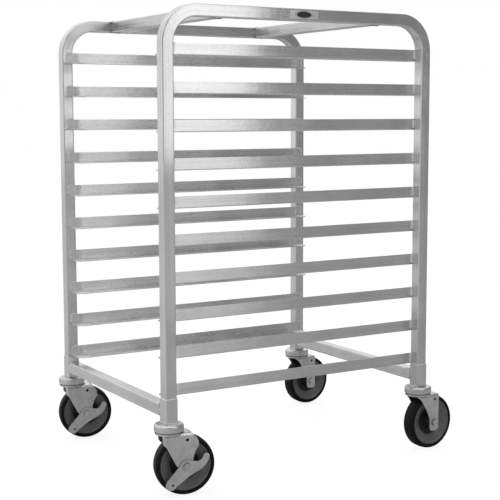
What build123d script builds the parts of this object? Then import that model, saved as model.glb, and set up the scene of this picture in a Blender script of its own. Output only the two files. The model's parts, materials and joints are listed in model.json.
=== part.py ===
from build123d import *
import os
from math import cos, radians, sin, sqrt

# Ten-level end-loading sheet pan rack on four swivel stem casters.
# Frame: +Z up, floor at Z = 0, origin on the floor midway between the four
# posts. Pans slide in from the open front (-Y). +X is the right-hand side.

os.makedirs("parts", exist_ok=True)

SIDES = (("left", -1), ("right", 1))
ENDS = (("front", -1), ("rear", 1))

# frame
TUBE = 25.4                     # square tube, 1 in
TUBE_R = 2.6                    # outer corner radius of the tube
WALL = 1.6                      # tube wall
WIDTH = 533.4                   # over the posts, 21 in
DEPTH = 666.75                  # over the posts, 26.25 in
HEIGHT = 986.0                  # floor to the top of the top tubes
BEND_R = 66.0                   # centreline radius of the bends in a side frame
POST_X = WIDTH / 2 - TUBE / 2   # post centres
POST_Y = DEPTH / 2 - TUBE / 2
FACE_X = POST_X - TUBE / 2      # inner faces of the posts
TOP_Z = HEIGHT - TUBE / 2       # centre height of the top tubes
TOP_BAR_Y = 197.0               # top crossbars, either side of the middle
LOW_BAR_Z = 174.0               # centre height of the bottom crossbars

# runners
LEVELS = 10
PITCH = 76.2                    # 3 in between levels
LOW_RUNNER_Z = 200.0            # underside of the lowest ledge
FLANGE = 24.6                   # upright leg of the angle
LEDGE = 37.5                    # level leg of the angle, carries the pan
GAUGE = 1.6                     # sheet thickness of the angle
RUNNER_BEND = 1.0               # inside bend radius
RUNNER_HEEL_R = RUNNER_BEND + GAUGE * 0.8
RUNNER_SHORT = 10.0             # set back from the outer faces of the posts
RUNNER_Y = DEPTH / 2 - RUNNER_SHORT
CLIP = 12.0                     # clipped inner corners of the ledge
FLANGE_END_R = 4.0              # rounded upper corners of the upright leg

# leg sleeves
SLEEVE = 28.6                   # outside
SLEEVE_IN = 25.6                # inside, slips over the tube
SLEEVE_R = TUBE_R + 1.4         # outer corner radius
SLEEVE_EDGE = 0.5               # chamfer round the top
SEAT_Z = 149.0                  # foot of the post and sleeve, seat of the caster
SLEEVE_TOP_Z = 199.6

# label plate
PLATE_LENGTH = 70.0
PLATE_HEIGHT = 17.0
PLATE_R = 3.0
PLATE_T = 0.6
PLATE_Y = -4.0

# wheel and axle
WHEEL_R = 62.5
WHEEL_W = 32.0
TYRE_IN_R = 54.0
SEAM_R = TYRE_IN_R - 1.0        # where tyre and rim meet
GROOVE_R = TYRE_IN_R - 3.6      # floor of the groove in the rim
GROOVE_HALF = 10.0
RIM_HALF = 14.6
HUB_HALF = 19.6
TRAIL = 30.5                    # stem axis to axle
CLEARANCE = 0.05                # radial, round the bolt, bush and king pin
BOLT_R = 4.0
BUSH_R = 6.35
HEX_R = 7.4                     # bolt head and nut, over the corners
BOLT_HEAD = 5.2
NUT = 7.0
NUT_GAP = 0.02                  # keeps the nut a separate solid
SHANK_END = 9.0                 # shank beyond the fork, on the nut side

# fork
FORK_GAP = 40.0                 # between the fork legs
FORK_T = 3.0
FORK_HALF = FORK_GAP / 2 + FORK_T
CROWN_Z = 131.0                 # top of the fork crown
THROAT_R = 5.0                  # inside radius where the legs leave the crown
LEG_HALF = 13.4                 # half width of a leg at the axle
LEG_FRONT = TRAIL - LEG_HALF    # leading and trailing edges of a leg
LEG_BACK = TRAIL + LEG_HALF
LEG_FOOT_Z = WHEEL_R - 19.0
LEG_CORNER_R = 9.0              # lower corners of a leg
LEG_HOLE_R = 3.2                # small hole high in each leg
CUT_HALF = 80.0                 # half length of the cuts along the trail

# swivel
RACE_R = 30.5                   # outside of the upper race
RACE_SHOULDER_R = 5.0
RACE_WALL = 2.4
CROWN_R = RACE_R - 1.5          # round crown plate
CROWN_LIP = 3.5                 # depth of the crown at its leading end
STEM_R = 10.9
STEM_LENGTH = 60.0
STEM_CHAMFER = 2.0
PIN_R = 6.0                     # king pin below the stem
PIN_HEAD_R = 10.0
PIN_HEAD_CHAMFER = 1.0
PIN_HEAD_Z = CROWN_Z - FORK_T - 5.0
PIN_HEAD_T = 4.9
BALL_R = 3.0
BALL_PITCH_R = 20.0
BALLS = 16
BALL_GAP = 0.03                 # between a ball and each race
LOWER_RACE_Z = CROWN_Z + 5.0    # floor of the ball track on the fork
TRACK_RIM_Z = LOWER_RACE_Z + 1.2
TRACK_HALF = 3.3                # half width of the ball track
BALL_Z = LOWER_RACE_Z + BALL_GAP + BALL_R

# brake lever
LEVER_T = 2.5
LEVER_GAP = 0.1                 # on each face of the lever
LEVER_HOLE_R = 2.6
LEVER_HOLE = (-29.4, -36.4)     # from the axle: along the trail, up
# Lever outline from the axle: along the trail, up. Each step is a point the
# arc passes through (None for a straight line) and the end of the step.
LEVER_START = (-22.0, -39.6)
LEVER_STEPS = (
    # toe end, below the leading side of the hub
    ((-38.4, -45.4), (-42.6, -29.4)),
    (None, (-14.6, 2.4)),
    ((-5.0, 12.6), (9.0, 11.6)),
    # heel end, turned up on the trailing side
    (None, (22.0, 9.4)),
    ((29.4, 12.6), (35.0, 21.4)),
    ((43.6, 24.6), (47.0, 16.6)),
    ((38.6, 0.6), (25.0, -9.6)),
    ((15.4, -14.6), (3.0, -21.4)),
    (None, LEVER_START),
)

# Right half of the wheel core section: along the axle from the middle, radius.
CORE_HALF = (
    (HUB_HALF, BUSH_R + CLEARANCE), (HUB_HALF, 13.0), (18.4, 14.6), (12.0, 16.2),
    (5.0, 19.0), (4.2, 29.0), (5.6, 31.6), (9.2, 39.0),
    (12.6, 47.6), (14.0, 49.0), (RIM_HALF, 49.8),
    (RIM_HALF, SEAM_R - 1.0), (RIM_HALF - 1.0, SEAM_R),
    (GROOVE_HALF, SEAM_R), (GROOVE_HALF, GROOVE_R),
)

# Right half of the tyre section below the tread, same columns.
TYRE_HALF = (
    (GROOVE_HALF - 0.4, GROOVE_R), (GROOVE_HALF, SEAM_R),
    (WHEEL_W / 2 - 2.2, SEAM_R), (WHEEL_W / 2, TYRE_IN_R),
    (WHEEL_W / 2, WHEEL_R - 6.5),
)

# stem x, stem y, direction of trail in degrees from +Y (positive towards -X), braked
CASTERS = {
    "front_left": (-POST_X, -POST_Y, -13.0, True),
    "front_right": (POST_X, -POST_Y, -13.0, True),
    "rear_right": (POST_X, POST_Y, 3.5, False),
    "rear_left": (-POST_X, POST_Y, 3.5, False),
}


class CasterFrame:
    """Planes and axes of one caster, turned to its direction of trail."""

    def __init__(self, stem_x, stem_y, turn):
        angle = radians(turn)
        up = Vector(0, 0, 1)
        trail = Vector(-sin(angle), cos(angle), 0)   # from the stem towards the axle
        axle = Vector(cos(angle), sin(angle), 0)     # along the axle, towards +X
        stem = Vector(stem_x, stem_y, 0)
        below_hub = stem + trail * TRAIL
        hub = below_hub + up * WHEEL_R
        self.swivel = Axis(stem, up)
        self.spin = Axis(hub, axle)
        # x along the trail, y up, normal along the axle
        self.side = Plane(origin=stem, x_dir=trail, z_dir=axle)
        self.hub_side = Plane(origin=hub, x_dir=trail, z_dir=axle)
        # x along the axle, y up, normal against the trail
        self.front = Plane(origin=below_hub, x_dir=axle, z_dir=-trail)
        self.hub_front = Plane(origin=hub, x_dir=axle, z_dir=-trail)
        # x along the trail, normal up
        self.plan = Plane(origin=stem, x_dir=trail, z_dir=up)


# ---------------------------------------------------------------------------
# helpers
# ---------------------------------------------------------------------------
def save(part, name):
    part.label = name
    export_step(part, f"parts/{name}.step")


def tube_section():
    """Hollow square of the frame tube, drawn in the open sketch."""
    bore = TUBE - 2 * WALL
    RectangleRounded(TUBE, TUBE, TUBE_R)
    RectangleRounded(bore, bore, TUBE_R - WALL, mode=Mode.SUBTRACT)


def corner_arc(start, corner, end):
    """Quarter circle that rounds a square corner, drawn in the open line."""
    start, corner, end = Vector(start), Vector(corner), Vector(end)
    centre = start + end - corner
    return ThreePointArc(start, centre + (corner - centre) * sqrt(0.5), end)


def arch_outline(half_width, bottom, top, radius):
    """Upright rectangle with rounded upper corners, drawn in the open line."""
    spring = top - radius
    flat = half_width - radius
    Line((-half_width, bottom), (half_width, bottom))
    Line((half_width, bottom), (half_width, spring))
    corner_arc((half_width, spring), (half_width, top), (flat, top))
    Line((flat, top), (-flat, top))
    corner_arc((-flat, top), (-half_width, top), (-half_width, spring))
    Line((-half_width, spring), (-half_width, bottom))


def both_sides(right_half):
    """Mirror image of a half section, followed by the half itself."""
    return [(-x, y) for x, y in reversed(right_half)] + list(right_half)


# ---------------------------------------------------------------------------
# rack
# ---------------------------------------------------------------------------
def make_side_frame(side, sx):
    """One tube bent to an inverted U."""
    with BuildPart() as side_frame:
        with BuildLine(Plane.YZ.offset(sx * POST_X)) as run:
            FilletPolyline(
                (-POST_Y, SEAT_Z), (-POST_Y, TOP_Z), (POST_Y, TOP_Z), (POST_Y, SEAT_Z),
                radius=BEND_R,
            )
        with BuildSketch(Plane.XY.offset(SEAT_Z)):
            with Locations((sx * POST_X, -POST_Y)):
                tube_section()
        sweep(path=run.wires()[0])
    save(side_frame.part, f"side_frame_{side}")


def make_crossbar(name, half_length, y, z):
    """Straight tube between the two side frames."""
    with BuildPart() as crossbar:
        with BuildSketch(Plane.YZ.offset(-half_length)):
            with Locations((y, z)):
                tube_section()
        extrude(amount=2 * half_length)
    save(crossbar.part, name)


def make_runner(level, side, sx):
    """Angle with its upright leg on the inner faces of the posts."""
    bottom = LOW_RUNNER_Z + (level - 1) * PITCH
    with BuildPart() as runner:
        with BuildSketch(Plane.XZ.offset(-RUNNER_Y)):
            with BuildLine():
                Polyline(
                    (sx * FACE_X, bottom),
                    (sx * FACE_X, bottom + FLANGE),
                    (sx * (FACE_X - GAUGE), bottom + FLANGE),
                    (sx * (FACE_X - GAUGE), bottom + GAUGE),
                    (sx * (FACE_X - LEDGE), bottom + GAUGE),
                    (sx * (FACE_X - LEDGE), bottom),
                    close=True,
                )
            make_face()
        extrude(amount=2 * RUNNER_Y)
        # outside, then inside of the bend
        heel = runner.edges().filter_by(Axis.Y).sort_by_distance(
            (sx * FACE_X, 0, bottom)
        )[0]
        fillet(heel, RUNNER_HEEL_R)
        inner = runner.edges().filter_by(Axis.Y).sort_by_distance(
            (sx * (FACE_X - GAUGE), 0, bottom + GAUGE)
        )[0]
        fillet(inner, RUNNER_BEND)
        # both ends: ledge clipped at the inner corner, upright leg rounded
        for sy in (-1, 1):
            corner = runner.edges().filter_by(Axis.Z).sort_by_distance(
                (sx * (FACE_X - LEDGE), sy * RUNNER_Y, bottom + GAUGE / 2)
            )[0]
            chamfer(corner, CLIP)
            crest = runner.edges().filter_by(Axis.X).sort_by_distance(
                (sx * (FACE_X - GAUGE / 2), sy * RUNNER_Y, bottom + FLANGE)
            )[0]
            fillet(crest, FLANGE_END_R)
    save(runner.part, f"runner_{side}_{level:02d}")


def make_leg_sleeve(name, x, y):
    """Short square tube over the foot of a post."""
    with BuildPart() as leg_sleeve:
        with BuildSketch(Plane.XY.offset(SEAT_Z)):
            with Locations((x, y)):
                RectangleRounded(SLEEVE, SLEEVE, SLEEVE_R)
                RectangleRounded(SLEEVE_IN, SLEEVE_IN, TUBE_R, mode=Mode.SUBTRACT)
        extrude(amount=SLEEVE_TOP_Z - SEAT_Z)
        top = leg_sleeve.faces().sort_by(Axis.Z)[-1]
        chamfer(top.outer_wire().edges(), SLEEVE_EDGE)
    save(leg_sleeve.part, f"leg_sleeve_{name}")


def make_label_plate():
    """Blank plate on the outside of the right-hand top tube."""
    with BuildPart() as label_plate:
        with BuildSketch(Plane.YZ.offset(WIDTH / 2)):
            with Locations((PLATE_Y, TOP_Z)):
                RectangleRounded(PLATE_LENGTH, PLATE_HEIGHT, PLATE_R)
        extrude(amount=PLATE_T)
    save(label_plate.part, "label_plate")


# ---------------------------------------------------------------------------
# parts that hold all four casters' stems or balls
# ---------------------------------------------------------------------------
def make_caster_stems():
    """Stems with their king pins, one solid per caster."""
    head_top = PIN_HEAD_Z + PIN_HEAD_T
    stem_top = SEAT_Z + STEM_LENGTH
    with BuildPart() as caster_stems:
        for x, y, _, _ in CASTERS.values():
            with BuildSketch(Plane(origin=(x, y, 0), x_dir=(1, 0, 0), z_dir=(0, -1, 0))):
                with BuildLine():
                    Polyline(
                        (0, PIN_HEAD_Z),
                        (PIN_HEAD_R - PIN_HEAD_CHAMFER, PIN_HEAD_Z),
                        (PIN_HEAD_R, PIN_HEAD_Z + PIN_HEAD_CHAMFER),
                        (PIN_HEAD_R, head_top),
                        (PIN_R, head_top),
                        (PIN_R, SEAT_Z),
                        (STEM_R, SEAT_Z),
                        (STEM_R, stem_top - STEM_CHAMFER),
                        (STEM_R - STEM_CHAMFER, stem_top),
                        (0, stem_top),
                        close=True,
                    )
                make_face()
            revolve(axis=Axis((x, y, 0), (0, 0, 1)))
    save(caster_stems.part, "caster_stems")


def make_swivel_balls():
    with BuildPart() as swivel_balls:
        for x, y, _, _ in CASTERS.values():
            with Locations((x, y, BALL_Z)):
                with PolarLocations(BALL_PITCH_R, BALLS):
                    Sphere(BALL_R)
    save(swivel_balls.part, "swivel_balls")


# ---------------------------------------------------------------------------
# parts of one caster
# ---------------------------------------------------------------------------
def make_top_race(name, frame):
    """Pressed cup that turns down over the balls."""
    bore = PIN_R + 0.1
    skirt_z = CROWN_Z + 3.6
    under_z = SEAT_Z - 6.2              # underside outside the ball track
    track_z = BALL_Z + BALL_R + BALL_GAP
    inner_r = BALL_PITCH_R - 5.0
    outer_r = BALL_PITCH_R + 5.0
    with BuildPart() as top_race:
        with BuildSketch(frame.side):
            with BuildLine():
                top = Polyline(
                    (bore, SEAT_Z - 3.0), (bore, SEAT_Z), (RACE_R - RACE_SHOULDER_R, SEAT_Z)
                )
                shoulder = corner_arc(
                    top @ 1, (RACE_R, SEAT_Z), (RACE_R, SEAT_Z - RACE_SHOULDER_R)
                )
                Polyline(
                    shoulder @ 1,
                    (RACE_R, skirt_z),
                    (RACE_R - RACE_WALL, skirt_z),
                    (RACE_R - RACE_WALL, under_z),
                    (outer_r, under_z),
                    (outer_r, track_z),
                    (inner_r, track_z),
                    (inner_r, SEAT_Z - 3.0),
                    (bore, SEAT_Z - 3.0),
                )
            make_face()
        revolve(axis=frame.swivel)
    save(top_race.part, f"top_race_{name}")


def make_fork(name, frame, braked):
    """Pressed steel: crown with ball track, and two legs."""
    with BuildPart() as fork:
        # side silhouette: x along the trail from the stem, y height
        with BuildSketch(frame.side.offset(-FORK_HALF)):
            with BuildLine():
                crown_top = Line((-CROWN_R, CROWN_Z), (38.0, CROWN_Z))
                leg_back_top = (LEG_BACK, WHEEL_R + 8.0)
                if braked:
                    # broad shoulders that slope down beside the tyre
                    shoulder = ThreePointArc(
                        crown_top @ 1, (49.2, CROWN_Z - 7.4), (56.0, CROWN_Z - 17.5)
                    )
                    tail = Line(shoulder @ 1, (56.0, CROWN_Z - 27.0))
                    Spline(
                        tail @ 1,
                        (51.6, CROWN_Z - 34.4),
                        (47.2, CROWN_Z - 44.0),
                        leg_back_top,
                        tangents=((-0.25, -1.0), (0.0, -1.0)),
                    )
                else:
                    shoulder = ThreePointArc(
                        crown_top @ 1, (42.4, CROWN_Z - 1.8), (44.2, CROWN_Z - 6.2)
                    )
                    tail = Line(shoulder @ 1, (44.2, CROWN_Z - 20.0))
                    Line(tail @ 1, leg_back_top)
                leg_back = Line(leg_back_top, (LEG_BACK, LEG_FOOT_Z + LEG_CORNER_R))
                back_corner = corner_arc(
                    leg_back @ 1, (LEG_BACK, LEG_FOOT_Z), (LEG_BACK - LEG_CORNER_R, LEG_FOOT_Z)
                )
                foot = Line(back_corner @ 1, (LEG_FRONT + LEG_CORNER_R, LEG_FOOT_Z))
                front_corner = corner_arc(
                    foot @ 1, (LEG_FRONT, LEG_FOOT_Z), (LEG_FRONT, LEG_FOOT_Z + LEG_CORNER_R)
                )
                if braked:
                    # straight leading edge from the leg up towards the crown
                    flare = Spline(
                        front_corner @ 1,
                        (13.6, WHEEL_R - 2.6),
                        (7.0, WHEEL_R + 7.0),
                        tangents=((0.0, 1.0), (-0.5, 0.86)),
                    )
                    leading = Line(flare @ 1, (-11.0, CROWN_Z - 26.6))
                    turn_up = ThreePointArc(
                        leading @ 1, (-16.0, CROWN_Z - 21.6), (-18.3, CROWN_Z - 15.0)
                    )
                    under_crown = Line(turn_up @ 1, (-18.3, CROWN_Z - CROWN_LIP))
                else:
                    # curved leading edge
                    leading = Spline(
                        front_corner @ 1,
                        (17.0, WHEEL_R + 6.0),
                        (12.6, WHEEL_R + 20.0),
                        (4.4, WHEEL_R + 35.5),
                        (-5.4, WHEEL_R + 50.6),
                        (-17.0, CROWN_Z - 5.6),
                        tangents=((0.0, 1.0), (-0.8, 0.6)),
                    )
                    under_crown = Line(leading @ 1, (-19.4, CROWN_Z - CROWN_LIP))
                lip = Line(under_crown @ 1, (-CROWN_R, CROWN_Z - CROWN_LIP))
                Line(lip @ 1, crown_top @ 0)
            make_face()
        extrude(amount=2 * FORK_HALF)
        # round the crown in plan, about the stem at the leading end
        with BuildSketch(frame.plan.offset(CROWN_Z - 95.0)):
            with BuildLine():
                back = Line((TRAIL + 30.0, -FORK_HALF), (TRAIL + 30.0, FORK_HALF))
                flank = Line(back @ 1, (0, FORK_HALF))
                nose = ThreePointArc(flank @ 1, (-CROWN_R, 0), (0, -FORK_HALF))
                Line(nose @ 1, back @ 0)
            make_face()
        extrude(amount=100.0, mode=Mode.INTERSECT)
        # round the top edges of the crown
        with BuildSketch(frame.front.offset(-CUT_HALF)):
            with BuildLine():
                arch_outline(FORK_HALF, 0, CROWN_Z, THROAT_R + FORK_T)
            make_face()
        extrude(amount=2 * CUT_HALF, mode=Mode.INTERSECT)
        # the space between the legs
        with BuildSketch(frame.front.offset(-CUT_HALF)):
            with BuildLine():
                arch_outline(FORK_GAP / 2, -5, CROWN_Z - FORK_T, THROAT_R)
            make_face()
        extrude(amount=2 * CUT_HALF, mode=Mode.SUBTRACT)
        # round crown plate under the ball track
        with BuildSketch(frame.plan.offset(CROWN_Z - FORK_T)):
            Circle(CROWN_R)
        extrude(amount=FORK_T)
        # ball track standing on the crown
        with BuildSketch(frame.side):
            with BuildLine():
                Polyline(
                    (PIN_R + 3.0, CROWN_Z - 1.0),
                    (RACE_R - 3.6, CROWN_Z - 1.0),
                    (RACE_R - 3.6, CROWN_Z + 2.0),
                    (RACE_R - 6.0, TRACK_RIM_Z),
                    (BALL_PITCH_R + TRACK_HALF, TRACK_RIM_Z),
                    (BALL_PITCH_R + TRACK_HALF, LOWER_RACE_Z),
                    (BALL_PITCH_R - TRACK_HALF, LOWER_RACE_Z),
                    (BALL_PITCH_R - TRACK_HALF, TRACK_RIM_Z),
                    (PIN_R + 3.0, TRACK_RIM_Z),
                    close=True,
                )
            make_face()
        revolve(axis=frame.swivel)
        # king pin hole
        with BuildSketch(frame.plan.offset(CROWN_Z - 20.0)):
            Circle(PIN_R + CLEARANCE)
        extrude(amount=40.0, mode=Mode.SUBTRACT)
        # axle holes and the small hole high in each leg
        with BuildSketch(frame.side.offset(-FORK_HALF - 1)):
            with Locations((TRAIL, WHEEL_R)):
                Circle(BOLT_R + CLEARANCE)
            with Locations((TRAIL + 2.0, CROWN_Z - 14.0)):
                Circle(LEG_HOLE_R)
        extrude(amount=2 * FORK_HALF + 2, mode=Mode.SUBTRACT)
    save(fork.part, f"fork_{name}")


def make_axle_bush(name, frame):
    """Bush over the bolt, between the fork legs."""
    with BuildPart() as axle_bush:
        with BuildSketch(frame.hub_side.offset(-FORK_GAP / 2)):
            Circle(BUSH_R)
            Circle(BOLT_R + CLEARANCE, mode=Mode.SUBTRACT)
        extrude(amount=FORK_GAP)
    save(axle_bush.part, f"axle_bush_{name}")


def make_axle_hardware(name, frame, braked):
    """Axle bolt and nut; a braked caster has the lever under the bolt head."""
    head = FORK_HALF + (LEVER_T + 2 * LEVER_GAP if braked else 0.0)
    with BuildPart() as axle_hardware:
        with BuildSketch(frame.hub_side.offset(head)):
            RegularPolygon(HEX_R, 6)
        extrude(amount=BOLT_HEAD)
        with BuildSketch(frame.hub_side.offset(-(FORK_HALF + SHANK_END))):
            Circle(BOLT_R)
        extrude(amount=head + FORK_HALF + SHANK_END)
        with BuildSketch(frame.hub_side.offset(-(FORK_HALF + NUT))):
            RegularPolygon(HEX_R, 6)
            Circle(BOLT_R + NUT_GAP, mode=Mode.SUBTRACT)
        extrude(amount=NUT)
    save(axle_hardware.part, f"axle_hardware_{name}")


def make_wheel_core(name, frame):
    """Hub, deep web and broad rim."""
    with BuildPart() as wheel_core:
        with BuildSketch(frame.hub_front):
            with BuildLine():
                Polyline(*both_sides(CORE_HALF), close=True)
            make_face()
        revolve(axis=frame.spin)
    save(wheel_core.part, f"wheel_core_{name}")


def make_tyre(name, frame):
    """Crowned ring with a key into the core's groove."""
    half = WHEEL_W / 2
    shoulder_r = WHEEL_R - 2.4
    tread_edge_r = WHEEL_R - 0.6
    with BuildPart() as tyre:
        with BuildSketch(frame.hub_front):
            with BuildLine():
                base = Polyline(*both_sides(TYRE_HALF))
                right = ThreePointArc(
                    base @ 1, (half - 2.2, shoulder_r), (half - 7.0, tread_edge_r)
                )
                tread = ThreePointArc(right @ 1, (0, WHEEL_R), (-half + 7.0, tread_edge_r))
                ThreePointArc(tread @ 1, (-half + 2.2, shoulder_r), base @ 0)
            make_face()
        revolve(axis=frame.spin)
    save(tyre.part, f"tyre_{name}")


def make_brake_lever(name, frame):
    """Flat bar that turns on the axle bolt, outside the +X leg of the fork."""
    with BuildPart() as brake_lever:
        with BuildSketch(frame.hub_side.offset(FORK_HALF + LEVER_GAP)):
            with BuildLine():
                start = LEVER_START
                for through, end in LEVER_STEPS:
                    if through is None:
                        Line(start, end)
                    else:
                        ThreePointArc(start, through, end)
                    start = end
            make_face()
            Circle(BOLT_R + CLEARANCE, mode=Mode.SUBTRACT)
            with Locations(LEVER_HOLE):
                Circle(LEVER_HOLE_R, mode=Mode.SUBTRACT)
        extrude(amount=LEVER_T)
    save(brake_lever.part, f"brake_lever_{name}")


# ---------------------------------------------------------------------------
# build
# ---------------------------------------------------------------------------
for side, sx in SIDES:
    make_side_frame(side, sx)
    for level in range(1, LEVELS + 1):
        make_runner(level, side, sx)

for end, sy in ENDS:
    make_crossbar(f"top_crossbar_{end}", FACE_X, sy * TOP_BAR_Y, TOP_Z)
    make_crossbar(f"bottom_crossbar_{end}", POST_X - SLEEVE / 2, sy * POST_Y, LOW_BAR_Z)

make_label_plate()
make_caster_stems()
make_swivel_balls()

for name, (x, y, turn, braked) in CASTERS.items():
    frame = CasterFrame(x, y, turn)
    make_leg_sleeve(name, x, y)
    make_top_race(name, frame)
    make_fork(name, frame, braked)
    make_axle_bush(name, frame)
    make_axle_hardware(name, frame, braked)
    make_wheel_core(name, frame)
    make_tyre(name, frame)
    if braked:
        make_brake_lever(name, frame)
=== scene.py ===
"""Wheeled aluminium rack with ten levels of runners between four posts.

It stands upright along +Z in metres and is centred on x = y = 0. Left is -X and
front is -Y. Each side frame is a tube bent in a plane of constant x.
The CAD pieces get their materials here; the weld beads are added as new meshes.
"""
import bpy
import bmesh
import json
import math
import random
from mathutils import Vector, Matrix


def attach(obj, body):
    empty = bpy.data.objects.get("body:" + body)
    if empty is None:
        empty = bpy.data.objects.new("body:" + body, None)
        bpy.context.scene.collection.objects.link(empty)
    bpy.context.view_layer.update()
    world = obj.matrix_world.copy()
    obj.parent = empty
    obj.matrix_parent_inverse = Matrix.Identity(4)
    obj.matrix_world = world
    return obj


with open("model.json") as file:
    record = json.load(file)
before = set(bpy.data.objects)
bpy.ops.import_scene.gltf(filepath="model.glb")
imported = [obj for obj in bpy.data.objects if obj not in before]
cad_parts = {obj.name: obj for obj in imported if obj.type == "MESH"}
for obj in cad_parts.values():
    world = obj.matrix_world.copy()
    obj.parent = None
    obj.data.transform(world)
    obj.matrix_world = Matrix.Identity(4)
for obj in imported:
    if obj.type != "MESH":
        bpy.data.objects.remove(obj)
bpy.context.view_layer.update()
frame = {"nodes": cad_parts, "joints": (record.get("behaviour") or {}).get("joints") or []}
NODES = frame["nodes"]
rng = random.Random(7)

# Rack sizes
TUBE_HALF = 0.0127              # half the width of posts and crossbars
POST_X, POST_Y = 0.254, 0.320675     # post centre lines
TOP_Z = 0.9733                  # centre line of the top tube
BEND_R = 0.066                  # bend of the side frame's centre line
FACE_X = POST_X - TUBE_HALF     # post faces turned to the middle in x
FACE_Y = POST_Y - TUBE_HALF     # post faces turned to the middle in y
LOW_RUNNER_Z, LEVEL_PITCH, LEVELS = 0.200, 0.0762, 10
RUNNER_END_Y = 0.323375
RUNNER_LEG = 0.0246             # height of a runner's upright leg
# Crossbar joints: end face x, centre line y and z
TOP_JOINT = (FACE_X, 0.197, TOP_Z)
LOW_JOINT = (0.2397, POST_Y, 0.174)


# ---------------------------------------------------------------------------
# node helpers
# ---------------------------------------------------------------------------
class Nodes:
    """Builds a node tree; any value may be a number, a tuple or a socket."""

    def __init__(self, tree, output_kind):
        self.tree = tree
        tree.nodes.clear()
        self.out = self.node(output_kind)

    def put(self, socket, value):
        if isinstance(value, bpy.types.NodeSocket):
            self.tree.links.new(value, socket)
        else:
            socket.default_value = value

    def node(self, kind, inputs=None, **settings):
        node = self.tree.nodes.new("ShaderNode" + kind)
        for name, value in settings.items():
            setattr(node, name, value)
        for key, value in (inputs or {}).items():
            self.put(node.inputs[key], value)
        return node

    def math(self, operation, *values, clamp=False):
        node = self.node("Math", dict(enumerate(values)), operation=operation, use_clamp=clamp)
        return node.outputs[0]

    def add(self, total, *terms, clamp=False):
        """Running sum; only the last step is clamped."""
        for i, term in enumerate(terms, 1):
            total = self.math("ADD", total, term, clamp=clamp and i == len(terms))
        return total

    def sub(self, value, less, clamp=False):
        return self.math("SUBTRACT", value, less, clamp=clamp)

    def mul(self, value, by):
        return self.math("MULTIPLY", value, by)

    def abs(self, value):
        return self.math("ABSOLUTE", value)

    def max(self, value, floor):
        return self.math("MAXIMUM", value, floor)

    def length(self, *sides):
        return self.math("SQRT", self.add(*[self.mul(side, by=side) for side in sides]))

    def vector(self, operation, first, second=None, out="Vector"):
        inputs = {0: first} if second is None else {0: first, 1: second}
        return self.node("VectorMath", inputs, operation=operation).outputs[out]

    def ramp(self, value, over=(0.3, 0.7), to=(0.0, 1.0)):
        """Smooth step from one range to another; the usual input is noise."""
        inputs = dict(enumerate((value, *over, *to)))
        return self.node("MapRange", inputs, interpolation_type="SMOOTHSTEP").outputs[0]


class Material(Nodes):
    """A Principled material textured in object coordinates."""

    def __init__(self, name):
        self.mat = bpy.data.materials.new(name)
        self.mat.use_nodes = True
        super().__init__(self.mat.node_tree, "OutputMaterial")
        self.bsdf = self.node("BsdfPrincipled")
        self.put(self.out.inputs[0], self.bsdf.outputs[0])
        self.obj = self.node("TexCoord").outputs["Object"]

    def surface(self, inputs):
        for name, value in inputs.items():
            self.put(self.bsdf.inputs[name], value)
        return self.mat

    def split(self):
        return self.node("SeparateXYZ", {0: self.obj}).outputs[:3]

    def join(self, x, y, z):
        return self.node("CombineXYZ", {0: x, 1: y, 2: z}).outputs[0]

    def tint(self, value, red=1.0, green=1.0, blue=1.0):
        """Colour from one value, with a factor for each channel."""
        return self.join(*[value if factor == 1.0 else self.mul(value, by=factor)
                           for factor in (red, green, blue)])

    def noise(self, scale, detail=3.0, rough=0.55, at=None):
        inputs = {"Vector": at or self.obj, "Scale": scale, "Detail": detail, "Roughness": rough}
        return self.node("TexNoise", inputs).outputs[0]

    def voronoi(self, scale, feature="DISTANCE_TO_EDGE", at=None):
        inputs = {"Vector": at or self.obj, "Scale": scale}
        return self.node("TexVoronoi", inputs, feature=feature).outputs["Distance"]

    def mix(self, factor, first, second):
        inputs = {0: factor, 6: first, 7: second}
        return self.node("Mix", inputs, data_type="RGBA").outputs[2]

    def bump(self, height, strength, distance, normal=None):
        inputs = {"Strength": strength, "Distance": distance, "Height": height}
        if normal is not None:
            inputs["Normal"] = normal
        return self.node("Bump", inputs).outputs[0]

    def normal(self):
        return self.node("NewGeometry").outputs["Normal"]

    def edge(self, radius):
        """0 on flats, towards 1 along sharp edges."""
        bevel = self.node("Bevel", {"Radius": radius}, samples=4).outputs[0]
        facing = self.vector("DOT_PRODUCT", bevel, self.normal(), out="Value")
        return self.ramp(facing, over=(0.995, 0.86))

    def crevice(self, distance):
        """1 in tight corners, 0 in the open."""
        node = self.node("AmbientOcclusion", {"Distance": distance}, samples=6)
        return self.ramp(node.outputs["AO"], over=(0.35, 0.85), to=(1.0, 0.0))

    def soot(self, x, y, z):
        """Heat-darkened patches above and below the crossbar joints."""
        half_width = 0.009      # of the seam, along y
        total = None
        for joint_x, joint_y, joint_z in (TOP_JOINT, LOW_JOINT):
            off_x = self.sub(self.abs(x), joint_x)
            off_y = self.sub(self.abs(self.sub(self.abs(y), joint_y)), half_width)
            off_y = self.max(off_y, floor=0.0)
            off_z = self.sub(self.abs(self.sub(z, joint_z)), TUBE_HALF)
            ragged = self.ramp(self.noise(scale=150.0), to=(-0.0025, 0.0025))
            distance = self.add(self.length(off_x, off_y, off_z), ragged)
            patch = self.ramp(distance, over=(0.0015, 0.0105), to=(1.0, 0.0))
            total = patch if total is None else self.max(total, patch)
        return total

    def across(self, along):
        """Unit vector in the surface, square to the drawing lines."""
        return self.vector("NORMALIZE", self.vector("CROSS_PRODUCT", self.normal(), along))

    def radius(self, hub, axle):
        """Distance from a wheel's axis, in object coordinates at rest."""
        from_hub = self.vector("SUBTRACT", self.obj, hub)
        return self.vector("LENGTH", self.vector("CROSS_PRODUCT", from_hub, axle), out="Value")


def grey(level):
    return (level, level, level, 1.0)


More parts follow.
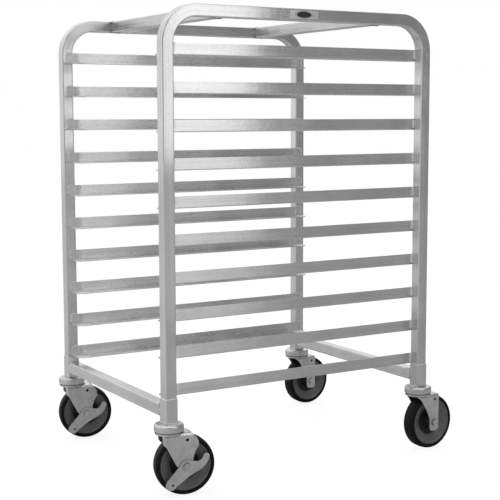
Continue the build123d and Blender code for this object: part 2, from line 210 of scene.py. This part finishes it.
# ---------------------------------------------------------------------------
# aluminium: drawn tube and angle, satin, with lines along the length
# ---------------------------------------------------------------------------
GRAIN_ACROSS = 1400.0           # texture scale square to the drawing lines
GRAIN_ALONG, GRAIN_BENT = 6.0, 4.0   # along them, on straight and bent pieces


def straight_grain(m, place, axis):
    """Grain coordinates and direction for a piece drawn along one axis."""
    grain = m.join(*[m.mul(place[i], by=GRAIN_ALONG if i == axis else GRAIN_ACROSS)
                     for i in range(3)])
    return grain, m.join(*[float(i == axis) for i in range(3)])


def bent_grain(m, x, y, z):
    """The same for the bent tube, following its centre line in the bend plane."""
    abs_y = m.abs(y)
    from_y = m.sub(abs_y, POST_Y - BEND_R)
    from_z = m.sub(z, TOP_Z - BEND_R)
    outside = m.length(m.max(from_y, floor=0.0), m.max(from_z, floor=0.0))
    inside = m.math("MINIMUM", m.max(from_y, from_z), 0.0)
    offset = m.sub(m.add(outside, inside), BEND_R)
    grain = m.join(m.mul(x, by=GRAIN_ACROSS), m.mul(offset, by=GRAIN_ACROSS),
                   m.mul(m.sub(z, abs_y), by=GRAIN_BENT))
    least = 0.0005              # keeps the direction defined inside the bend
    radial_y = m.mul(m.max(from_y, floor=least), by=m.math("SIGN", y))
    radial_z = m.max(from_z, floor=least)
    return grain, m.join(0.0, radial_z, m.mul(radial_y, by=-1.0))


def aluminium(name, run, base=0.80, rough=0.215):
    """run: the axis the piece is drawn along, or "frame" for the bent tube."""
    m = Material(name)
    x, y, z = m.split()
    axis = {"x": 0, "y": 1, "z": 2, "frame": 2}[run]
    if run == "frame":
        grain, along = bent_grain(m, x, y, z)
    else:
        grain, along = straight_grain(m, (x, y, z), axis)
    lines = m.noise(at=grain, scale=1.0, detail=4.0, rough=0.6)
    stretch = tuple(0.4 if i == axis else 0.16 for i in range(3))
    wide = m.noise(at=m.vector("MULTIPLY", grain, stretch), scale=1.0, detail=2.0, rough=0.5)
    cloud = m.noise(scale=9.0, detail=4.0, rough=0.6)
    fine = m.noise(scale=160.0, rough=0.6)
    # handling marks: short thin scratches, gathered in some areas
    stretch = (40.0, 7.0, 90.0)
    cells = m.voronoi(at=m.vector("MULTIPLY", m.obj, stretch), scale=2.2)
    areas = m.ramp(m.noise(scale=5.0, detail=2.0), over=(0.52, 0.64))
    scratch = m.mul(m.ramp(cells, over=(0.0, 0.018), to=(1.0, 0.0)), by=areas)
    wear = m.edge(radius=0.0016)

    value = m.add(
        m.ramp(cloud, to=(-0.045, 0.045)),
        m.ramp(lines, to=(-0.03, 0.03)),
        m.ramp(wide, over=(0.35, 0.65), to=(-0.03, 0.03)),
        m.mul(wear, by=0.07),
        m.mul(m.node("Attribute", attribute_type="OBJECT", attribute_name="tone").outputs["Fac"],
              by=1.0),
        base,
        clamp=True,
    )
    gloss = m.add(
        m.ramp(cloud, to=(-0.025, 0.035)),
        m.ramp(lines, over=(0.25, 0.75), to=(-0.035, 0.045)),
        m.ramp(fine, to=(-0.01, 0.015)),
    )
    gloss = m.sub(gloss, m.mul(wear, by=0.03))
    gloss = m.add(gloss, m.mul(scratch, by=0.08))
    if run == "y":
        # painted highlight: lighter and rougher round the welds at each end
        ragged = m.ramp(m.noise(scale=130.0), to=(-0.003, 0.003))
        end_highlight = m.ramp(m.add(m.abs(y), ragged), over=(0.289, 0.301))
        # painted highlight near the runner ends
        value = m.add(value, m.mul(end_highlight, by=0.12), clamp=True)
        gloss = m.add(gloss, m.mul(end_highlight, by=0.28))
    if run in ("x", "frame"):
        soot = m.soot(x, y, z)
        value = m.sub(value, m.mul(soot, by=0.40), clamp=True)
        gloss = m.add(gloss, m.mul(soot, by=0.16))

    height = m.add(m.mul(lines, by=0.5), m.mul(fine, by=0.2))
    height = m.sub(height, m.mul(scratch, by=0.5))
    marks = m.bump(height, strength=0.09, distance=0.0002)
    return m.surface({
        "Base Color": m.tint(value, red=0.997, blue=1.005),
        "Metallic": 1.0,
        "Roughness": m.add(gloss, rough, clamp=True),
        # drawing lines blur reflections across the length, not along it
        "Anisotropic": 0.93,
        "Tangent": m.across(along),
        # slight waviness, which breaks the reflections up
        "Normal": m.bump(cloud, strength=0.06, distance=0.006, normal=marks),
    })


# ---------------------------------------------------------------------------
# other materials
# ---------------------------------------------------------------------------
def zinc(name):
    m = Material(name)
    base_value, base_rough = 0.72, 0.30
    cloud = m.noise(scale=45.0, detail=4.0, rough=0.62)
    fine = m.noise(scale=420.0, rough=0.6)
    spangle = m.voronoi(scale=260.0, feature="F1")
    wear = m.edge(radius=0.0009)
    stain = m.ramp(m.noise(scale=22.0), over=(0.5, 0.72))
    # painted shade: darker and rougher in the crevices where plates and races meet
    crevice_shade = m.mul(m.crevice(distance=0.007), by=m.ramp(cloud, to=(0.75, 1.0)))
    value = m.add(
        m.ramp(cloud, to=(-0.06, 0.06)),
        m.ramp(spangle, over=(0.0, 0.8), to=(0.03, -0.03)),
        m.mul(wear, by=0.14),
    )
    value = m.sub(value, m.mul(stain, by=0.08))
    # painted shade in the crevices
    value = m.sub(value, m.mul(crevice_shade, by=0.52))
    gloss = m.add(m.ramp(cloud, to=(-0.05, 0.08)), m.mul(stain, by=0.10))
    gloss = m.sub(gloss, m.mul(wear, by=0.08))
    height = m.add(m.mul(fine, by=0.35), m.mul(cloud, by=1.1))
    return m.surface({
        "Base Color": m.tint(m.add(value, base_value, clamp=True), blue=1.012),
        "Metallic": 1.0,
        "Roughness": m.add(gloss, m.mul(crevice_shade, by=0.22), base_rough, clamp=True),
        "Normal": m.bump(height, strength=0.22, distance=0.0005),
    })


def ball_steel(name):
    m = Material(name)
    fine = m.noise(scale=900.0, detail=2.0)
    oil = m.noise(scale=70.0)
    value = m.add(m.ramp(oil, over=(0.35, 0.65), to=(0.5, 0.66)), m.ramp(fine, to=(-0.03, 0.03)))
    return m.surface({
        "Base Color": m.tint(value, green=0.98, blue=0.94),
        "Metallic": 1.0,
        "Roughness": m.ramp(oil, to=(0.12, 0.26)),
        "Normal": m.bump(fine, strength=0.05, distance=0.0002),
    })


def rubber(name, hub, axle):
    m = Material(name)
    fine = m.noise(scale=700.0, rough=0.6)
    cloud = m.noise(scale=36.0, detail=4.0, rough=0.6)
    dust = m.ramp(m.noise(scale=14.0, detail=5.0, rough=0.65), over=(0.45, 0.75))
    wear = m.edge(radius=0.0014)
    value = m.add(m.ramp(cloud, to=(0.004, 0.010)), m.mul(dust, by=0.006), m.mul(wear, by=0.012))
    # moulding lines round the side walls
    ring_spacing = 0.0012       # half the distance from line to line
    ring = m.math("PINGPONG", m.radius(hub, axle), ring_spacing)
    height = m.add(
        m.mul(fine, by=0.5),
        m.mul(cloud, by=0.5),
        m.ramp(ring, over=(0.0, 0.0004), to=(0.6, 0.0)),
    )
    return m.surface({
        "Base Color": m.tint(value, red=1.03, blue=0.98),
        "Roughness": m.add(m.ramp(cloud, to=(0.40, 0.52)), m.mul(dust, by=0.16)),
        "Specular IOR Level": 0.16,
        "Normal": m.bump(height, strength=0.3, distance=0.0006),
    })


def polymer(name, hub, axle):
    """Dark wheel core with a paler, turned rim; the dark centre is partly the core's colour and
    partly painted shade of its deep recess.
    """
    m = Material(name)
    fine = m.noise(scale=520.0, rough=0.6)
    cloud = m.noise(scale=40.0, rough=0.6)
    wear = m.edge(radius=0.0012)
    radius = m.radius(hub, axle)
    rim = m.ramp(radius, over=(0.029, 0.033))
    turned = m.noise(at=m.join(m.mul(radius, by=2600.0), 0.0, 0.0), scale=1.0, rough=0.6)
    # darker inside the rim: partly the core's colour, partly painted shade of the recess
    value = m.add(
        m.ramp(cloud, to=(0.012, 0.022)),
        m.mul(rim, by=0.115),
        m.mul(wear, by=0.04),
        m.mul(m.ramp(turned, to=(-0.012, 0.012)), by=rim),
        m.ramp(fine, to=(-0.004, 0.004)),
    )
    height = m.add(m.mul(fine, by=0.6), m.mul(cloud, by=0.3), m.mul(turned, by=0.3))
    return m.surface({
        "Base Color": m.tint(value, blue=1.03),
        "Roughness": m.sub(m.ramp(cloud, to=(0.40, 0.52)), m.mul(rim, by=0.14)),
        "Specular IOR Level": m.ramp(rim, over=(0.0, 1.0), to=(0.3, 0.8)),
        "Normal": m.bump(height, strength=0.22, distance=0.0006),
    })


def plate(name, middle_y, middle_z):
    """Bright plate with a dark, blank oval in the middle and a thin line round it."""
    m = Material(name)
    oval_y, oval_z = 0.0185, 0.0066     # half axes of the dark field
    line_at = 1.45                      # square of the line's size against the field
    _, y, z = m.split()
    stretch = (900.0, 14.0, 900.0)
    fine = m.noise(at=m.vector("MULTIPLY", m.obj, stretch), scale=1.0, rough=0.6)
    cloud = m.noise(scale=30.0)
    wear = m.edge(radius=0.001)
    across = m.math("DIVIDE", m.sub(y, middle_y), oval_y)
    upward = m.math("DIVIDE", m.sub(z, middle_z), oval_z)
    oval = m.add(m.mul(across, by=across), m.mul(upward, by=upward))
    field = m.ramp(oval, over=(0.92, 1.08), to=(1.0, 0.0))
    line = m.ramp(m.abs(m.sub(oval, line_at)), over=(0.05, 0.14), to=(1.0, 0.0))
    dark = m.max(field, m.mul(line, by=0.55))
    value = m.add(
        m.ramp(cloud, to=(0.60, 0.70)),
        m.ramp(fine, to=(-0.04, 0.04)),
        m.mul(wear, by=0.1),
    )
    ink = m.ramp(cloud, to=(0.014, 0.028))
    height = m.add(m.mul(fine, by=0.4), m.mul(dark, by=0.6))
    return m.surface({
        "Base Color": m.mix(dark, m.tint(value, blue=1.01), m.tint(ink)),
        "Metallic": m.sub(1.0, dark),
        "Roughness": m.add(m.ramp(cloud, to=(0.30, 0.42)), m.mul(dark, by=0.1)),
        "Normal": m.bump(height, strength=0.15, distance=0.0004),
    })


def weld_metal(name, base):
    """Frosted puddles, darker along their edges."""
    m = Material(name)
    spread = 0.055
    ripple = m.noise(scale=520.0, rough=0.6)
    cloud = m.noise(scale=60.0)
    value = m.add(
        m.ramp(cloud, to=(base - spread, base + spread)),
        m.ramp(ripple, to=(-0.04, 0.04)),
    )
    value = m.sub(value, m.mul(m.edge(radius=0.0007), by=0.06), clamp=True)
    return m.surface({
        "Base Color": m.tint(value),
        "Metallic": 0.55,
        "Roughness": m.ramp(cloud, to=(0.46, 0.62)),
        "Normal": m.bump(ripple, strength=0.3, distance=0.0005),
    })


def label_middle(i):
    """Middle of the label plate along axis i."""
    label = NODES["label_plate"]
    places = [(label.matrix_world @ v.co)[i] for v in label.data.vertices]
    return (min(places) + max(places)) / 2


AL_X = aluminium("aluminium_drawn_x", "x", base=0.73)
AL_Y = aluminium("aluminium_drawn_y", "y", rough=0.25)
AL_Z = aluminium("aluminium_drawn_z", "z")
AL_BENT = aluminium("aluminium_bent_tube", "frame", base=0.72)
ZINC = zinc("zinc_plated_steel")
BALLS = ball_steel("bearing_steel")
WHEELS = {       # wheel name: hub place and axle direction
    joint["name"].removeprefix("roll_"): (Vector(joint["pos_m"]), Vector(joint["axis"]))
    for joint in frame["joints"] if joint["name"].startswith("roll_")
}
CORE = {key: polymer("wheel_core_polymer_" + key, *wheel) for key, wheel in WHEELS.items()}
TYRE = {key: rubber("tyre_rubber_" + key, *wheel) for key, wheel in WHEELS.items()}
PLATE = plate("label_plate_coated", label_middle(1), label_middle(2))
WELD = weld_metal("weld_bead", base=0.895)
WELD_DARK = weld_metal("weld_bead_sooted", base=0.42)


def dress(node, mat, tone=0.0):
    """Give a piece its material; tone shifts the aluminium's brightness."""
    obj = NODES[node]
    obj["tone"] = tone
    if obj.material_slots:
        for slot in obj.material_slots:
            slot.material = mat
    else:
        obj.data.materials.append(mat)


for node in NODES:
    if node.startswith("side_frame"):
        dress(node, AL_BENT)
    elif node.startswith("runner"):
        dress(node, AL_Y, tone=rng.uniform(-0.03, 0.03))
    elif "crossbar" in node:
        dress(node, AL_X)
    elif node.startswith("leg_sleeve"):
        dress(node, AL_Z, tone=-0.02)
    elif node == "label_plate":
        dress(node, PLATE)
    elif node == "swivel_balls":
        dress(node, BALLS)
    elif node.startswith("tyre"):
        dress(node, TYRE[node.removeprefix("tyre_")])
    elif node.startswith("wheel_core"):
        dress(node, CORE[node.removeprefix("wheel_core_")])
    else:
        dress(node, ZINC)


# ---------------------------------------------------------------------------
# weld beads: rippled, closed tubes laid along the joints of the frame
# ---------------------------------------------------------------------------
BEAD_STEP = 0.0009                      # ring to ring along a bead
BEAD_SIDES = 8
END_TAPER = (0.55, 0.82, 0.95, 1.0)     # radius factors inwards from each end
TIP_REACH = 0.45                        # end point beyond the last ring, in radii
UNEVEN_RADIUS, UNEVEN_PLACE = 0.05, 0.06     # random shares of the radius


def resample(points):
    points = [Vector(p) for p in points]
    path = []
    for start, end in zip(points[:-1], points[1:]):
        count = max(1, int(round((end - start).length / BEAD_STEP)))
        path += [start.lerp(end, i / count) for i in range(count)]
    return path + [points[-1]]


def lay(bm, points, radius, flat=1.0, lean=(0, 0, 1), pitch=0.0024):
    """One bead: puddles stacked along a path, slightly uneven.

    flat scales the section towards lean; pitch is the puddle spacing.
    """
    path = resample(points)
    last = len(path) - 1
    phase = rng.uniform(0, 6.28)
    rings = []
    for i, point in enumerate(path):
        along = (path[min(i + 1, last)] - path[max(i - 1, 0)]).normalized()
        ref = Vector(lean)
        if abs(ref.dot(along)) > 0.95:      # bead runs along lean: turn to x
            ref = Vector((1, 0, 0))
        out = (ref - along * ref.dot(along)).normalized()
        side = along.cross(out)
        puddle = abs(math.sin(math.pi * i * BEAD_STEP / pitch + phase))
        r = radius * (0.86 + 0.20 * puddle + rng.uniform(-UNEVEN_RADIUS, UNEVEN_RADIUS))
        drift = (out * rng.uniform(-UNEVEN_PLACE, UNEVEN_PLACE)
                 + side * rng.uniform(-UNEVEN_PLACE, UNEVEN_PLACE)) * radius
        r *= END_TAPER[min(i, last - i, 3)]
        ring = []
        for k in range(BEAD_SIDES):
            angle = 2 * math.pi * k / BEAD_SIDES
            offset = out * (math.cos(angle) * r * flat) + side * (math.sin(angle) * r)
            ring.append(bm.verts.new(point + drift + offset))
        rings.append((ring, point + drift, along, r))

    turns = [(k, (k + 1) % BEAD_SIDES) for k in range(BEAD_SIDES)]
    for (near, *_), (far, *_) in zip(rings[:-1], rings[1:]):
        for k, after in turns:
            bm.faces.new((near[k], near[after], far[after], far[k]))
    for (ring, centre, along, r), way in ((rings[0], -1), (rings[-1], 1)):
        tip = bm.verts.new(centre + along * (way * r * TIP_REACH))
        for k, after in turns:
            first, second = (k, after) if way > 0 else (after, k)
            bm.faces.new((ring[first], ring[second], tip))


def link_mesh(name, bm, mat):
    mesh = bpy.data.meshes.new(name)
    bm.to_mesh(mesh)
    bm.free()
    mesh.materials.append(mat)
    obj = bpy.data.objects.new(name, mesh)
    bpy.context.scene.collection.objects.link(obj)
    return obj


def weld_piece(name, build, *args, mat=WELD):
    bm = bmesh.new()
    build(bm, *args)
    bmesh.ops.recalc_face_normals(bm, faces=bm.faces[:])
    obj = link_mesh(name, bm, mat)
    for face in obj.data.polygons:
        face.use_smooth = True
    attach(obj, "root")


def runner_welds(bm, sx, sy):
    """Two beads at each runner end on one post."""
    proud = 0.0008          # corner bead's centre out of the corner
    sunk = 0.0009           # end bead's centre behind the post face
    end_gap = 0.0005        # end bead's centre past the runner end
    turn_r = 0.0038         # turn of the end bead over the leg's top corner
    for level in range(LEVELS):
        foot = LOW_RUNNER_Z + level * LEVEL_PITCH
        # corner between the upright leg and the post face turned to the middle in y
        x, y = sx * (FACE_X + proud), sy * (FACE_Y - proud)
        low_trim, high_trim = rng.uniform(0.001, 0.003), rng.uniform(0.0005, 0.002)
        ends = [(x, y, foot + 0.002 + low_trim), (x, y, foot + RUNNER_LEG - high_trim)]
        lay(bm, ends, radius=0.0031, pitch=0.0031)
        # up the end of the upright leg, then back along its top edge
        x, y = sx * (FACE_X - sunk), sy * (RUNNER_END_Y + end_gap)
        top = foot + RUNNER_LEG + 0.0004
        path = [(x, y, foot + 0.003 + high_trim)]
        for degrees in range(0, 91, 18):
            q = math.radians(degrees)
            path.append((x, y - sy * turn_r * (1 - math.cos(q)), top - turn_r * (1 - math.sin(q))))
        path.append((x, sy * (FACE_Y + 0.003), top))
        lay(bm, path, radius=0.0017, lean=(1, 0, 0), flat=0.85)


def crossbar_welds(bm, joint, reach, radius):
    """Beads along the top and bottom edges of each crossbar end."""
    face, joint_y, joint_z = joint
    for sx in (-1, 1):
        for sy in (-1, 1):
            for sz in (-1, 1):
                x = sx * (face - 0.0005)
                z = joint_z + sz * (TUBE_HALF + 0.0001)
                ends = [(x, sy * joint_y - reach, z), (x, sy * joint_y + reach, z)]
                lay(bm, ends, radius, lean=(1, 0, 0), flat=0.85)


def sleeve_welds(bm):
    """One bead round three sides of each post, open towards the middle in x."""
    half, corner, z = 0.0135, 0.002, 0.1998     # half width, corner cut, height
    start = -0.010                              # open ends, from the post centre
    outline = [      # x, y from the post centre; +x is outwards
        (start, -half), (half - corner, -half), (half, -half + corner),
        (half, half - corner), (half - corner, half), (start, half),
    ]
    for sx in (-1, 1):
        for sy in (-1, 1):
            lay(bm, [(sx * (POST_X + x), sy * (POST_Y + y), z) for x, y in outline], radius=0.0013)


for side, sx in (("left", -1), ("right", 1)):
    for end, sy in (("front", -1), ("rear", 1)):
        weld_piece(f"welds_runners_{side}_{end}", runner_welds, sx, sy)
# joint, half length, radius
weld_piece("welds_top_crossbars", crossbar_welds, TOP_JOINT, 0.0115, 0.0017, mat=WELD_DARK)
weld_piece("welds_bottom_crossbars", crossbar_welds, LOW_JOINT, 0.0118, 0.0019)
weld_piece("welds_sleeves", sleeve_welds)


# ---------------------------------------------------------------------------
# stage, lights, camera
# ---------------------------------------------------------------------------
def floor_material():
    m = Material("pale_floor")
    camera_ray = m.node("LightPath").outputs["Is Camera Ray"]
    cloud = m.noise(scale=3.0)
    # reflections see a duller floor than the camera does, paler to the front left
    x, y, _ = m.split()
    slope = m.sub(m.mul(y, by=-1.0), m.mul(x, by=0.35))
    side = m.ramp(slope, over=(-0.5, 2.2), to=(0.44, 0.84))
    dull = m.add(side, m.ramp(cloud, to=(-0.02, 0.02)))
    pale = m.mix(cloud, grey(0.80), grey(0.83))
    m.surface({"Base Color": m.mix(camera_ray, m.tint(dull), pale), "Roughness": 0.9})
    glow = m.node("Emission", {"Color": grey(1.0), "Strength": 1.17})
    share = m.mul(camera_ray, by=0.75)      # of glow, seen by the camera only
    mixed = m.node("MixShader", {0: share, 1: m.bsdf.outputs[0], 2: glow.outputs[0]})
    m.put(m.out.inputs[0], mixed.outputs[0])
    return m.mat


def stage_floor():
    bm = bmesh.new()
    bmesh.ops.create_circle(bm, cap_ends=True, segments=96, radius=14.0)
    link_mesh("floor", bm, floor_material())


def studio_world():
    """White to the camera; soft patches of light to everything else."""
    world = bpy.data.worlds.new("studio")
    bpy.context.scene.world = world
    world.use_nodes = True
    w = Nodes(world.node_tree, "OutputWorld")
    sky = w.node("TexCoord").outputs["Generated"]
    total = 0.235       # level away from the patches
    # azimuth from +X towards +Y, elevation, inner and outer radius in degrees; level
    for *angles, level in (
        (0, 90, 25, 62, 0.50),        # overhead
        (-150, 10, 16, 48, 0.56),     # broad light on the front left
        (-92, 12, 16, 62, 0.42),      # and round towards the camera
        (150, 28, 16, 50, 0.66),      # pale backdrop behind
    ):
        a, e, inner, outer = map(math.radians, angles)
        centre = (math.cos(a) * math.cos(e), math.sin(a) * math.cos(e), math.sin(e))
        facing = w.vector("DOT_PRODUCT", sky, centre, out="Value")
        patch = w.ramp(facing, over=(math.cos(outer), math.cos(inner)), to=(0.0, level))
        total = w.add(patch, total)
    colour = w.node("CombineColor", {0: total, 1: total, 2: total}).outputs[0]
    lit = w.node("Background", {"Color": colour, "Strength": 1.0}).outputs[0]
    seen = w.node("Background", {"Color": grey(1.0), "Strength": 1.0}).outputs[0]
    camera_ray = w.node("LightPath").outputs["Is Camera Ray"]
    mixed = w.node("MixShader", {0: camera_ray, 1: lit, 2: seen})
    w.put(w.out.inputs[0], mixed.outputs[0])


def area(name, place, target, size, power):
    light = bpy.data.lights.new(name, "AREA")
    light.shape = "RECTANGLE"
    light.size, light.size_y = size
    light.energy = power
    obj = bpy.data.objects.new(name, light)
    bpy.context.scene.collection.objects.link(obj)
    obj.location = place
    obj.rotation_mode = "QUATERNION"
    obj.rotation_quaternion = (Vector(target) - Vector(place)).to_track_quat("-Z", "Y")
    obj.visible_camera = False


def view_camera():
    place = (2.34598, -1.38319, 0.76629)
    yaw, pitch_down, roll = 2.6013, 0.11305, -0.00257     # radians
    data = bpy.data.cameras.new("view")
    camera = bpy.data.objects.new("view", data)
    bpy.context.scene.collection.objects.link(camera)
    forward = Vector((math.cos(pitch_down) * math.cos(yaw),
                      math.cos(pitch_down) * math.sin(yaw), -math.sin(pitch_down)))
    level = Vector((math.sin(yaw), -math.cos(yaw), 0.0))
    up = level.cross(forward)
    right = level * math.cos(roll) + up * math.sin(roll)
    top = up * math.cos(roll) - level * math.sin(roll)
    turn = Matrix((right, top, -forward)).transposed().to_4x4()
    camera.matrix_world = Matrix.Translation(Vector(place)) @ turn
    data.sensor_width = 36.0
    data.lens = 85.29408
    data.clip_start, data.clip_end = 0.05, 100.0
    bpy.context.scene.camera = camera


stage_floor()
studio_world()
area("key_right", place=(1.87, 0.36, 1.20), target=(0.62, -0.61, 1.20), size=(0.9, 1.16), power=3.8)
area("key_low", place=(1.87, 0.36, 0.33), target=(0.62, -0.61, 0.33), size=(0.9, 0.58), power=0.38)
area("top_soft", place=(0.3, -0.2, 3.4), target=(0, 0, 0.4), size=(3.2, 3.2), power=18)
view_camera()
bpy.context.scene.view_settings.view_transform = "Standard"
bpy.context.scene.view_settings.look = "None"

bpy.context.view_layer.update()
